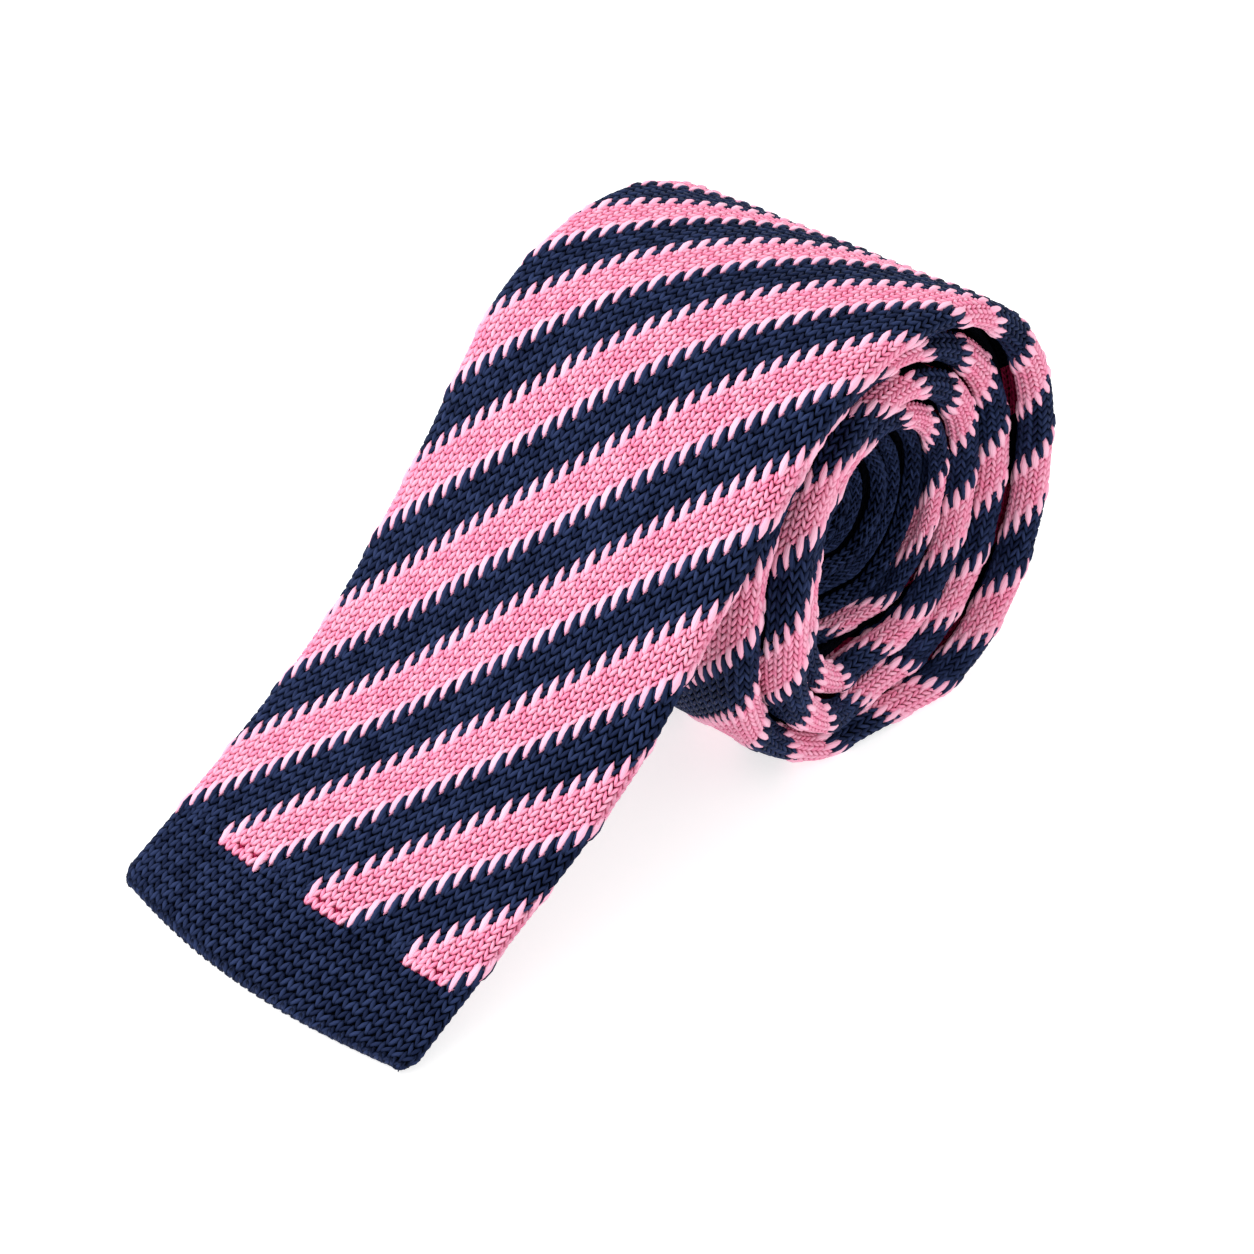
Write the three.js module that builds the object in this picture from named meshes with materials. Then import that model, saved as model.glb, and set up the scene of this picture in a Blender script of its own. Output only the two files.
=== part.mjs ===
// Knit tie, folded in half at its neck and rolled up from the fold. The last stretch of the
// wide blade leaves the top of the roll and slopes down to rest its tip on the surface.
// Millimetres, +Z up. X runs across the band, Y from the blade's tip towards the roll.
// The band is a knitted tube pressed flat, so it is one closed strip with thicker folded edges.

import * as THREE from 'three';

// Band
const bladeWidth = 61.5;
const neckWidth = 38;
const tailWidth = 48;
const bandThickness = 2.35;
const tipCornerRadius = 3;
const tipBow = 3.2;
const tipBowReach = 30;
const bladeEdgeReach = 5.5;

// Roll
const rollRadius = 37.7;
const coreRadius = 6.4;
const layerGap = 0.4;
const rollCentreY = 98.6;

// The roll's weight flattens its underside this far each side of the lowest point.
const footHalfAngleDegrees = 18;

// Blade, as it leaves the roll
const tipSlopeDegrees = 33;
const leaveAngleDegrees = 43.1;
const tipHandleShare = 0.74;
const rollHandleShare = 0.62;

// The tail stops just behind the crest, between two turns of the wide half.
const tailEndTurn = 0.06;

// Facets
const stepsPerTurn = 24;
const bladeSteps = 18;
const cornerSteps = 3;
const foldSteps = 6;

// Sideways drift of the near edge by turn from the crest, as a share of the blade's width.
const driftRows = [
  { turn: 0.0, drift: -0.01 },
  { turn: 0.25, drift: -0.08 },
  { turn: 0.4, drift: -0.07 },
  { turn: 0.5, drift: -0.11 },
  { turn: 0.6, drift: -0.134 },
  { turn: 0.75, drift: -0.048 },
  { turn: 1.0, drift: -0.09 },
  { turn: 1.25, drift: -0.14 },
  { turn: 1.5, drift: -0.13 },
  { turn: 1.75, drift: 0.015 },
  { turn: 2.0, drift: -0.08 },
  { turn: 2.25, drift: -0.165 },
  { turn: 2.5, drift: -0.14 },
  { turn: 2.75, drift: -0.04 },
  { turn: 3.0, drift: -0.12 },
  { turn: 3.25, drift: -0.19 },
  { turn: 4.0, drift: -0.25 },
  { turn: 5.0, drift: -0.3 },
];

// Width of each half: 0 is the neck's width, 1 the full width of the blade or the tail.
const widthRows = [
  { turn: 0.0, blade: 1.0, tail: 1.0 },
  { turn: 2.0, blade: 0.9, tail: 0.85 },
  { turn: 3.25, blade: 0.65, tail: 0.95 },
  { turn: 4.25, blade: 0.2, tail: 0.45 },
  { turn: 5.0, blade: 0.0, tail: 0.0 },
];

// Swelling of the folded edges, 0 flat and 1 filling the turn, and the band's crown
// as a share of its width. Blade rows run from the tip, 0, to where it meets the roll, 1,
// and also give its share of the full width and shift it sideways, because its tip lies
// a little to the far side.
const bladeRows = [
  { along: 0.0, width: 0.98, swell: 0.0, crown: 0.0, shift: -1.2 },
  { along: 0.4, width: 0.963, swell: 0.3, crown: 0.022, shift: -0.3 },
  { along: 0.8, width: 0.976, swell: 0.7, crown: 0.02, shift: -0.1 },
  { along: 1.0, width: 1.0, swell: 0.8, crown: 0.01, shift: -0.6 },
];
const rollRows = [
  { turn: -0.12, swell: 0.8, crown: 0.01 },
  { turn: 0.0, swell: 0.5, crown: 0.0 },
  { turn: 0.25, swell: 1.0, crown: 0.0 },
  { turn: 3.0, swell: 1.0, crown: 0.0 },
  { turn: 3.5, swell: 0.0, crown: 0.0 },
];

// Worked out from the sizes above. Each turn of the roll holds two layers of the band.
const ringPitch = 2 * (bandThickness + layerGap);
const fullEdge = 2 * bandThickness + layerGap;
const foldRadius = bandThickness + layerGap / 2;
const turnCount = (rollRadius - coreRadius) / ringPitch;
const leaveAngle = THREE.MathUtils.degToRad(leaveAngleDegrees);
const tipSlope = THREE.MathUtils.degToRad(tipSlopeDegrees);
const turnStep = (2 * Math.PI) / stepsPerTurn;
const footHalfAngle = THREE.MathUtils.degToRad(footHalfAngleDegrees);
const rollCentreZ = outerRadius(Math.PI + footHalfAngle) * Math.cos(footHalfAngle);

// Radius of the wide half's outer face at an angle wound on from the crest.
function outerRadius(angle) {
  return rollRadius - (ringPitch * angle) / (2 * Math.PI);
}

function readRow(rows, key, value, column) {
  const next = rows.findIndex((row) => row[key] >= value);
  if (next === 0) return rows[0][column];
  if (next < 0) return rows[rows.length - 1][column];
  const low = rows[next - 1];
  const high = rows[next];
  const share = (value - low[key]) / (high[key] - low[key]);
  return THREE.MathUtils.lerp(low[column], high[column], share);
}

// Points of the roll are pairs (y, z). Outwards is away from the roll's centre.
function outwards(angle) {
  return new THREE.Vector2(Math.sin(angle), Math.cos(angle));
}

function onwards(angle) {
  return new THREE.Vector2(Math.cos(angle), -Math.sin(angle));
}

// Height left in a turn above the flattened underside, where 1 is round. Every turn gives
// way there in proportion to its radius, so the outermost one lies level on the surface.
function pressedShare(angle) {
  const firstTurn = angle % (2 * Math.PI);
  const drop = -Math.cos(firstTurn) * outerRadius(firstTurn);
  return drop > rollCentreZ ? rollCentreZ / drop : 1;
}

function rollPoint(angle, radius) {
  const point = outwards(angle).multiplyScalar(radius);
  point.y *= pressedShare(angle);
  return point.add(new THREE.Vector2(rollCentreY, rollCentreZ));
}

// Both halves share one centre line, so they stay stacked as the roll drifts sideways.
function windingAt(angle) {
  const turn = angle / (2 * Math.PI);
  const blade = neckWidth + (bladeWidth - neckWidth) * readRow(widthRows, 'turn', turn, 'blade');
  const tail = neckWidth + (tailWidth - neckWidth) * readRow(widthRows, 'turn', turn, 'tail');
  const nearEdge = bladeWidth * (0.5 + readRow(driftRows, 'turn', turn, 'drift'));
  return { turn, blade, tail, centreX: nearEdge - blade / 2 };
}

// A station is one cross-section of the band: a point (y, z) on its front face, the
// direction that the face looks, and the sizes of the section there. The bow carries the
// middle of the section level along the surface, so the tip's end is gently curved.
function station(point, facing, centreX, width, swell, crown, edgeRoom, bow = 0) {
  const wanted = THREE.MathUtils.lerp(bandThickness, fullEdge, swell);
  const edge = Math.max(bandThickness, Math.min(wanted, 1.6 * edgeRoom));
  return { point, facing, centreX, width, edge, crown, edgeRoom, bow };
}

function bladeStations() {
  const join = rollPoint(-leaveAngle, outerRadius(-leaveAngle));
  const tip = new THREE.Vector2(0, bandThickness * Math.cos(tipSlope));
  const reach = join.distanceTo(tip);
  const tipWay = new THREE.Vector2(Math.cos(tipSlope), Math.sin(tipSlope));
  const curve = new THREE.CubicBezierCurve(
    tip,
    tip.clone().addScaledVector(tipWay, tipHandleShare * reach),
    join.clone().addScaledVector(onwards(-leaveAngle), -rollHandleShare * reach),
    join,
  );
  const length = curve.getLength();
  const lengths = [];
  for (let i = 0; i < cornerSteps; i += 1) {
    lengths.push(tipCornerRadius * (1 - Math.cos((i / cornerSteps) * (Math.PI / 2))));
  }
  for (let i = 0; i <= bladeSteps; i += 1) {
    lengths.push(tipCornerRadius + (i / bladeSteps) * (length - tipCornerRadius));
  }
  return lengths.map((along) => {
    const share = along / length;
    const way = curve.getTangentAt(share);
    const shortfall = Math.max(0, tipCornerRadius - along);
    const inset = tipCornerRadius - Math.sqrt(tipCornerRadius ** 2 - shortfall ** 2);
    return station(
      curve.getPointAt(share),
      new THREE.Vector2(-way.y, way.x),
      readRow(bladeRows, 'along', share, 'shift'),
      bladeWidth * readRow(bladeRows, 'along', share, 'width') - 2 * inset,
      readRow(bladeRows, 'along', share, 'swell'),
      readRow(bladeRows, 'along', share, 'crown'),
      bladeEdgeReach,
      tipBow * Math.max(0, 1 - along / tipBowReach) ** 2,
    );
  });
}

// Angles of the roll's stations, with one at the crest and one at the lowest point.
function windingAngles(from) {
  const angles = [];
  const last = turnCount * 2 * Math.PI;
  const first = Math.ceil(from / turnStep);
  for (let angle = first * turnStep; angle < last; angle += turnStep) angles.push(angle);
  return angles;
}

function wideHalfStations() {
  return windingAngles(-leaveAngle).map((angle) => {
    const { turn, blade, tail, centreX } = windingAt(angle);
    return station(
      rollPoint(angle, outerRadius(angle)),
      outwards(angle),
      centreX,
      blade,
      readRow(rollRows, 'turn', turn, 'swell') * pressedShare(angle),
      readRow(rollRows, 'turn', turn, 'crown'),
      turn < tailEndTurn ? bladeEdgeReach : (blade - tail) / 2 - layerGap,
    );
  });
}

// The fold at the neck turns the band back on itself, so its front face then looks inwards.
function foldStations(angle) {
  const { blade, centreX } = windingAt(angle);
  const pivot = rollPoint(angle, outerRadius(angle) - foldRadius);
  const stations = [];
  for (let i = 1; i < foldSteps; i += 1) {
    const bend = (i / foldSteps) * Math.PI;
    const facing = outwards(angle).multiplyScalar(Math.cos(bend));
    facing.addScaledVector(onwards(angle), Math.sin(bend));
    stations.push(
      station(pivot.clone().addScaledVector(facing, foldRadius), facing, centreX, blade, 0, 0, 0),
    );
  }
  return stations;
}

function tailHalfStations() {
  const angles = windingAngles(tailEndTurn * 2 * Math.PI).reverse();
  return angles.map((angle) => {
    const { tail, centreX } = windingAt(angle);
    const point = rollPoint(angle, outerRadius(angle) - fullEdge);
    return station(point, outwards(angle).negate(), centreX, tail, 0, 0, 0);
  });
}

// Outline of a section as pairs (across, out), with the front face at 0 and the rest below it.
function sectionOutline({ width, edge, crown, edgeRoom }) {
  const half = width / 2;
  const round = edge / 2;
  const root = Math.max(edgeRoom, 0.6 * edge);
  const bulge = (round + root) / 2;
  const slant = round * Math.SQRT1_2;
  const nearSide = [
    [(half - round) / 2, 0],
    [half - round, 0],
    [half - round + slant, slant - round],
    [half, -round],
    [half - round + slant, -slant - round],
    [half - round, -edge],
    [half - bulge, -edge],
    [half - root, -bandThickness],
  ];
  const farSide = nearSide.map(([across, out]) => [-across, out]).reverse();
  const outline = [[0, 0], ...nearSide, [0, -bandThickness], ...farSide];
  return outline.map(([across, out]) => [across, out - crown * width * (across / half) ** 2]);
}

function bandGeometry(stations) {
  const positions = [];
  const indices = [];
  const outlines = stations.map(sectionOutline);
  const count = outlines[0].length;
  stations.forEach(({ point, facing, centreX, width, bow }, i) => {
    for (const [across, out] of outlines[i]) {
      const ahead = bow * (1 - (across / (width / 2)) ** 2);
      positions.push(centreX + across, point.x + out * facing.x - ahead, point.y + out * facing.y);
    }
  });
  for (let i = 0; i + 1 < stations.length; i += 1) {
    for (let k = 0; k < count; k += 1) {
      const a = i * count + k;
      const b = i * count + ((k + 1) % count);
      indices.push(a, b, a + count, b, b + count, a + count);
    }
  }
  closeEnd(positions, indices, 0, count, false);
  closeEnd(positions, indices, stations.length - 1, count, true);
  const geometry = new THREE.BufferGeometry();
  geometry.setAttribute('position', new THREE.Float32BufferAttribute(positions, 3));
  geometry.setIndex(indices);
  geometry.computeVertexNormals();
  return geometry;
}

// Closes one end with a fan about the middle of its section.
function closeEnd(positions, indices, index, count, atEnd) {
  const first = index * count;
  const middle = positions.length / 3;
  for (let axis = 0; axis < 3; axis += 1) {
    const front = positions[3 * first + axis];
    const back = positions[3 * (first + count / 2) + axis];
    positions.push((front + back) / 2);
  }
  for (let k = 0; k < count; k += 1) {
    const a = first + k;
    const b = first + ((k + 1) % count);
    if (atEnd) indices.push(middle, a, b);
    else indices.push(middle, b, a);
  }
}

function knitTie() {
  const wideHalf = wideHalfStations();
  const foldAngle = windingAngles(0).pop();
  const stations = [
    ...bladeStations(),
    ...wideHalf,
    ...foldStations(foldAngle),
    ...tailHalfStations(),
  ];
  const material = new THREE.MeshStandardMaterial({ color: 0x1c2a52, roughness: 0.6, metalness: 0 });
  const tie = new THREE.Mesh(bandGeometry(stations), material);
  tie.name = 'knit_tie';
  return tie;
}

// The origin is under the middle of the tie's box, on the surface that it rests on.
const tie = knitTie();
const box = new THREE.Box3().setFromObject(tie);
const middle = box.getCenter(new THREE.Vector3());
tie.position.set(-middle.x, -middle.y, -box.min.z);

const group = new THREE.Group();
group.add(tie);
export default group;
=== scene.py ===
"""Knit tie, folded in half at its neck and rolled up, on a plain white floor.

The band is one closed tube of cloth. Its outer face is worked out as a grid, with rows along
the band and columns round it, and the yarn of the knitting is laid on that grid.
Metres throughout, +Z up. X runs across the band and Y from the blade's tip towards the roll.
"""

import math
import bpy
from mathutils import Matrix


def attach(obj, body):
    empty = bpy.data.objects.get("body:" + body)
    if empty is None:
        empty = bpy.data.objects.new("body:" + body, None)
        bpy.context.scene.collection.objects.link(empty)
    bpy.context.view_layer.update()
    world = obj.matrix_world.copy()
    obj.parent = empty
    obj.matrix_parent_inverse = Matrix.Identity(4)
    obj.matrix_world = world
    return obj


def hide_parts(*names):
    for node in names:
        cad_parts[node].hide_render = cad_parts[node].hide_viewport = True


bl_info = {
    "name": "Rolled knit tie",
    "version": (1, 0, 0),
    "blender": (4, 5, 0),
    "location": "3D View > Sidebar > Knit Tie",
    "description": "Builds a rolled knit tie with its yarn, floor, light and camera",
    "category": "Object",
}

from functools import partial
from types import SimpleNamespace

import bpy
import numpy as np
from bpy.props import FloatProperty, FloatVectorProperty, IntProperty, PointerProperty
from mathutils import Matrix, Vector

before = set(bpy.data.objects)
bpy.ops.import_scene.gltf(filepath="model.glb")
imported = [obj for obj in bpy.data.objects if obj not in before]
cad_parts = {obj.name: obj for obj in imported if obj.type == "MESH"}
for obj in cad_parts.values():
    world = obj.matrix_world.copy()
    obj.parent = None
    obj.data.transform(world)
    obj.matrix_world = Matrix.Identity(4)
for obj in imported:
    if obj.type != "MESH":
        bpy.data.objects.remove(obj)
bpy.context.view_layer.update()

FULL_TURN = 2 * math.pi

# Sideways drift of the near edge by turn from the crest, as a share of the blade's width.
DRIFT_TURNS = (0.0, 0.25, 0.4, 0.5, 0.6, 0.75, 1.0, 1.25, 1.5,
               1.75, 2.0, 2.25, 2.5, 2.75, 3.0, 3.25, 4.0, 5.0)
DRIFTS = (-0.01, -0.08, -0.07, -0.11, -0.134, -0.048, -0.09, -0.14, -0.13,
          0.015, -0.08, -0.165, -0.14, -0.04, -0.12, -0.19, -0.25, -0.3)

# Width of each half by turn: 0 is the neck's width, 1 the blade's or the tail's full width.
WIDTH_TURNS = (0.0, 2.0, 3.25, 4.25, 5.0)
BLADE_WIDTHS = (1.0, 0.9, 0.65, 0.2, 0.0)
TAIL_WIDTHS = (1.0, 0.85, 0.95, 0.45, 0.0)

# Swelling of the folded edges, 0 flat and 1 filling the turn, and the band's crown as a share
# of its width. The blade's rows run from its tip, 0, to where it meets the roll, 1, and also
# give its share of the full width and shift it sideways, because its tip lies a little to
# the far side.
BLADE_SHARES = (0.0, 0.4, 0.8, 1.0)
BLADE_SWELLS = (0.0, 0.3, 0.7, 0.8)
BLADE_CROWNS = (0.0, 0.022, 0.02, 0.01)
BLADE_SHARES_OF_WIDTH = (0.98, 0.963, 0.976, 1.0)
BLADE_SHIFTS = (-0.0012, -0.0003, -0.0001, -0.0006)
ROLL_TURNS = (-0.12, 0.0, 0.25, 3.0, 3.5)
ROLL_SWELLS = (0.8, 0.5, 1.0, 1.0, 0.0)
ROLL_CROWNS = (0.01, 0.0, 0.0, 0.0, 0.0)

# Points over which the path and the sections are averaged, and the length along the band over
# which the path's averaging stops, before the roll's tight turns.
PATH_SPREAD = 3.0
SECTION_SPREAD = 8.0
SMOOTHED_LENGTH = 0.55
SMOOTHED_FADE = 0.06

# Soft waves in the blade's cloth: radians for each metre across, slanting and along, where the
# two waves begin, and the lengths over which they rise from the tip and die away at the roll.
WAVES_ACROSS = 150
WAVES_SLANTED = 40
WAVES_ALONG = 95
WAVE_STARTS = (1.3, 0.6)
SWAY_RISE = 0.02
SWAY_END = 0.13
SWAY_FALL = 0.04


def length(name, description, default):
    """A length in metres that the user can change."""
    return FloatProperty(
        name=name, description=description, default=default, subtype="DISTANCE", unit="LENGTH",
        precision=5,
    )


def angle(name, description, degrees):
    """An angle that the user can change."""
    return FloatProperty(
        name=name, description=description, default=math.radians(degrees), subtype="ANGLE"
    )


def share(name, description, default):
    """A plain number without a unit."""
    return FloatProperty(name=name, description=description, default=default, precision=4)


def colour(name, description, default):
    """A linear colour that the user can change."""
    return FloatVectorProperty(
        name=name, description=description, default=default, size=3, min=0.0, max=1.0,
        subtype="COLOR",
    )


class TieSizes(bpy.types.PropertyGroup):
    """Sizes of the band, the roll, the stripes and the yarn."""

    blade_width: length("Blade width", "Width of the wide half", 0.0615)
    neck_width: length("Neck width", "Width at the fold inside the roll", 0.038)
    tail_width: length("Tail width", "Width of the narrow half", 0.048)
    band_thickness: length("Band thickness", "Both layers of the pressed tube", 0.00235)
    tip_corner: length("Tip corner radius", "Rounding of the tip's corners", 0.003)
    tip_bow: length("Tip bow", "How far the tip's middle stands out", 0.0032)
    tip_bow_reach: length("Tip bow reach", "Length over which the bow fades", 0.030)
    tip_round: length("Tip rounding", "Length over which the tip's edge thins", 0.0012)
    edge_reach: length("Edge reach", "How far the blade's swollen edge reaches in", 0.0055)
    roll_radius: length("Roll radius", "Radius at the crest", 0.0377)
    core_radius: length("Core radius", "Radius of the hollow in the roll", 0.0064)
    layer_gap: length("Layer gap", "Air between two layers", 0.0004)
    roll_centre_y: length("Roll centre", "Distance of the roll's centre from the tip", 0.0986)
    blade_centre_x: length("Blade centre", "The blade's centre line in X", 0.0031935)
    tip_y: length("Tip line", "The tip's corners in Y", -0.0658625)
    foot_half_angle: angle("Foot half angle", "Flattened underside, each side", 18.0)
    tip_slope: angle("Tip slope", "Slope of the blade at its tip", 33.0)
    leave_angle: angle("Leave angle", "Where the blade leaves the roll, before the crest", 43.1)
    tip_handle: share("Tip handle", "Straightness of the blade at its tip", 0.74)
    roll_handle: share("Roll handle", "Straightness of the blade at the roll", 0.62)
    core_turn: share("Core", "Turn from which the narrow half's edges show", 2.6)
    tail_end_turn: share("Tail end", "Turn at which the tail stops", 0.06)
    sway: length("Sway", "Height of the soft waves in the cloth", 0.00022)

    wales: IntProperty(name="Wales", description="Columns of stitches round the tube", default=78)
    hem_wales: IntProperty(name="Hem wales", description="Columns in the hem", default=70)
    hem_course: length("Hem course", "Length of one row in the hem", 0.00136)
    pink_rows: IntProperty(name="Pink rows", description="Rows in a pink stripe", default=8)
    navy_rows: IntProperty(name="Navy rows", description="Rows in a navy stripe", default=8)
    pink_course: length("Pink course", "Length of one pink row", 0.00127)
    navy_course: length("Navy course", "Length of one navy row", 0.00158)
    stripe_start: length("Stripe start", "First pink row on the blade's centre line", 0.0486)
    stripe_turns: IntProperty(
        name="Stripe climb", description="Repeats that a stripe climbs round the tube", default=6
    )
    stripe_bow: length("Stripe bow", "How far stripes bend at the edges", 0.0026)
    stretch: share("Stretch", "How much the knitting is stretched along the blade", 0.17)
    hem: length("Hem", "Plain end of the blade", 0.0120)
    stripes_end: length("Stripes end", "Where the plain neck begins", 0.745)

    yarn_width: length("Yarn width", "Width of one leg of a stitch", 0.00074)
    yarn_height: length("Yarn height", "Thickness of one leg of a stitch", 0.00105)
    yarn_overlap: share("Yarn overlap", "Length of a leg as a share of its row", 1.5)
    yarn_slant: angle("Yarn slant", "Lean of a leg away from its wale", 21.0)
    tooth_length: length("Tooth length", "Length of a long stitch at a stripe's edge", 0.0040)
    tooth_past: length("Tooth tip", "How far a long stitch passes the last row", 0.0020)
    tooth_slant: angle("Tooth slant", "Lean of a long stitch", 11.0)
    inset: length("Inset", "Depth of the ground cloth under the yarn", 0.00065)


class TieColours(bpy.types.PropertyGroup):
    """Colours of the yarn, of the painted shade under it, and of the floor."""

    navy: colour("Navy", "Navy yarn", (0.0062, 0.0112, 0.0380))
    navy_light: colour("Navy light", "Lighter navy yarn", (0.0225, 0.0360, 0.1000))
    pink: colour("Pink", "Pink yarn", (0.900, 0.268, 0.442))
    pink_light: colour("Pink light", "Lighter pink yarn", (0.900, 0.420, 0.570))
    pink_tip: colour("Pink tips", "Palest pink yarn", (0.910, 0.500, 0.640))
    # Painted shade: the two ground colours are navy and pink darkened to stand for the shade in
    # the holes between the stitches. The yarn's legs also darken towards them at their ends.
    navy_ground_shade: colour("Navy ground", "Ground cloth under navy yarn", (0.0010, 0.0018, 0.0060))
    pink_ground_shade: colour("Pink ground", "Ground cloth under pink yarn", (0.420, 0.014, 0.075))
    floor: colour("Floor", "White floor", (0.550, 0.550, 0.550))


def derive(sizes):
    """The sizes as plain numbers, with what follows from them."""
    s = SimpleNamespace(**{name: getattr(sizes, name) for name in sizes.__annotations__})
    s.ring_pitch = 2 * (s.band_thickness + s.layer_gap)
    s.full_edge = 2 * s.band_thickness + s.layer_gap
    s.fold_radius = s.band_thickness + s.layer_gap / 2
    s.turn_count = (s.roll_radius - s.core_radius) / s.ring_pitch
    s.centre_z = outer_radius(s, math.pi + s.foot_half_angle) * math.cos(s.foot_half_angle)
    s.pink_length = s.pink_rows * s.pink_course
    s.stripe_pitch = s.pink_length + s.navy_rows * s.navy_course
    s.wale_width = 2 * (s.blade_width + s.full_edge / 2) / s.wales
    return s


def outer_radius(s, turned):
    """Radius of the wide half's outer face at an angle wound on from the crest."""
    return s.roll_radius - s.ring_pitch * turned / FULL_TURN


def pressed_share(s, turned):
    """Height left in a turn above the flattened underside, where 1 is round."""
    first = np.mod(np.maximum(turned, 0.0), FULL_TURN)
    drop = -np.cos(first) * outer_radius(s, first)
    return np.where(drop > s.centre_z, s.centre_z / np.maximum(drop, 1e-6), 1.0)


def roll_points(s, turned, radius):
    """Points (y, z) of the roll, with y counted from the tip."""
    y = s.roll_centre_y + np.sin(turned) * radius
    z = s.centre_z + np.cos(turned) * radius * pressed_share(s, turned)
    return np.stack([y, z], axis=-1)


def blade_points(s, count=900):
    """Points (y, z) of the blade's front face from its tip to where it meets the roll."""
    join = roll_points(s, np.array(-s.leave_angle), outer_radius(s, -s.leave_angle))
    tip = np.array([0.0, s.band_thickness * math.cos(s.tip_slope)])
    reach = np.linalg.norm(join - tip)
    tip_way, roll_way = (
        np.array([math.cos(slope), math.sin(slope)]) for slope in (s.tip_slope, s.leave_angle)
    )
    near_tip = tip + tip_way * s.tip_handle * reach
    near_roll = join - roll_way * s.roll_handle * reach
    t = np.linspace(0.0, 1.0, count)[:, None]
    return (
        (1 - t) ** 3 * tip
        + 3 * t * (1 - t) ** 2 * near_tip
        + 3 * t**2 * (1 - t) * near_roll
        + t**3 * join
    )


def run_length(points):
    """Length along a line of points, from its first."""
    steps = np.linalg.norm(np.diff(points, axis=0), axis=1)
    return np.concatenate([[0.0], np.cumsum(steps)])


def smooth(values, spread):
    """Values along a line, averaged over a few neighbours."""
    reach = int(3 * spread)
    kernel = np.exp(-0.5 * (np.arange(-reach, reach + 1) / spread) ** 2)
    kernel /= kernel.sum()
    before = 2 * values[0] - values[reach:0:-1]
    after = 2 * values[-1] - values[-2 : -reach - 2 : -1]
    return np.convolve(np.concatenate([before, values, after]), kernel, mode="valid")


def band_path(s, step=0.0005):
    """The front face's line of points, with the turn, and the section's sizes at each."""
    fold_turn = math.floor(s.turn_count * 24) / 24
    blade = blade_points(s)
    wound = np.radians(np.arange(-math.degrees(s.leave_angle), fold_turn * 360, 0.5))[1:]
    wide = np.concatenate([blade, roll_points(s, wound, outer_radius(s, wound))])
    wide_turn = np.concatenate([np.full(len(blade), -s.leave_angle), wound]) / FULL_TURN
    run = run_length(wide)
    blade_length = run[len(blade) - 1]
    even = np.arange(0.0, run[-1], step)
    wide = np.stack([np.interp(even, run, wide[:, k]) for k in (0, 1)], axis=-1)
    soft = np.stack([smooth(wide[:, k], PATH_SPREAD) for k in (0, 1)], axis=-1)
    hold = np.clip((SMOOTHED_LENGTH - even) / SMOOTHED_FADE, 0.0, 1.0)[:, None]
    wide = soft * hold + wide * (1 - hold)
    wide_turn = np.interp(even, run, wide_turn)

    last = fold_turn * FULL_TURN
    pivot = roll_points(s, np.array(last), outer_radius(s, last) - s.fold_radius)
    bend = np.linspace(0.0, math.pi, 18)[1:-1, None]
    out = np.array([math.sin(last), math.cos(last)])
    on = np.array([math.cos(last), -math.sin(last)])
    fold = pivot + s.fold_radius * (out * np.cos(bend) + on * np.sin(bend))

    back = np.radians(np.arange(fold_turn * 360, s.tail_end_turn * 360, -1.5))
    tail = roll_points(s, back, outer_radius(s, back) - s.full_edge)
    turn = np.concatenate([wide_turn, np.full(len(fold), fold_turn), back / FULL_TURN])
    points = np.concatenate([wide, fold, tail])
    half = np.concatenate([np.zeros(len(wide)), np.ones(len(fold)), np.full(len(tail), 2)])

    along = run_length(points)
    path = SimpleNamespace(s=along, points=points, turn=turn, half=half)
    path.blade_length = blade_length
    path.wide_length = along[len(wide) - 1]
    path.length = along[-1]
    add_sections(s, path)
    return path


def add_sections(s, path):
    """Width, centre, edge thickness, crown and edge room at each point of the path."""
    blade_at = np.interp(path.turn, WIDTH_TURNS, BLADE_WIDTHS)
    tail_at = np.interp(path.turn, WIDTH_TURNS, TAIL_WIDTHS)
    blade_w = s.neck_width + (s.blade_width - s.neck_width) * blade_at
    tail_w = s.neck_width + (s.tail_width - s.neck_width) * tail_at
    near = s.blade_width * (0.5 + np.interp(path.turn, DRIFT_TURNS, DRIFTS))
    centre = near - blade_w / 2
    gone = np.clip(path.s / path.blade_length, 0.0, 1.0)
    on_blade = path.s <= path.blade_length
    pressed = pressed_share(s, path.turn * FULL_TURN)
    swell = np.interp(path.turn, ROLL_TURNS, ROLL_SWELLS) * pressed
    swell = np.where(on_blade, np.interp(gone, BLADE_SHARES, BLADE_SWELLS), swell)
    crown = np.interp(path.turn, ROLL_TURNS, ROLL_CROWNS)
    crown = np.where(on_blade, np.interp(gone, BLADE_SHARES, BLADE_CROWNS), crown)
    room = np.where(
        path.turn < s.tail_end_turn, s.edge_reach, (blade_w - tail_w) / 2 - s.layer_gap
    )
    wide = path.half == 0
    count = int(wide.sum())
    for values in (blade_w, centre, swell, crown, room):
        values[:count] = smooth(values[:count], SECTION_SPREAD)
    swell[~wide] = 0.0
    crown[~wide] = 0.0
    room[~wide] = 0.0
    short = np.maximum(0.0, s.tip_corner - path.s)
    corner = s.tip_corner - np.sqrt(s.tip_corner**2 - short**2)
    narrowed = np.where(on_blade, np.interp(gone, BLADE_SHARES, BLADE_SHARES_OF_WIDTH), 1.0)
    path.width = np.where(path.half == 2, tail_w, blade_w * narrowed) - 2 * corner
    path.centre = np.where(on_blade, np.interp(gone, BLADE_SHARES, BLADE_SHIFTS), centre)
    wanted = s.band_thickness + (s.full_edge - s.band_thickness) * swell
    path.edge = np.maximum(s.band_thickness, np.minimum(wanted, 1.6 * room))
    path.crown = crown
    path.room = room


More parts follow.
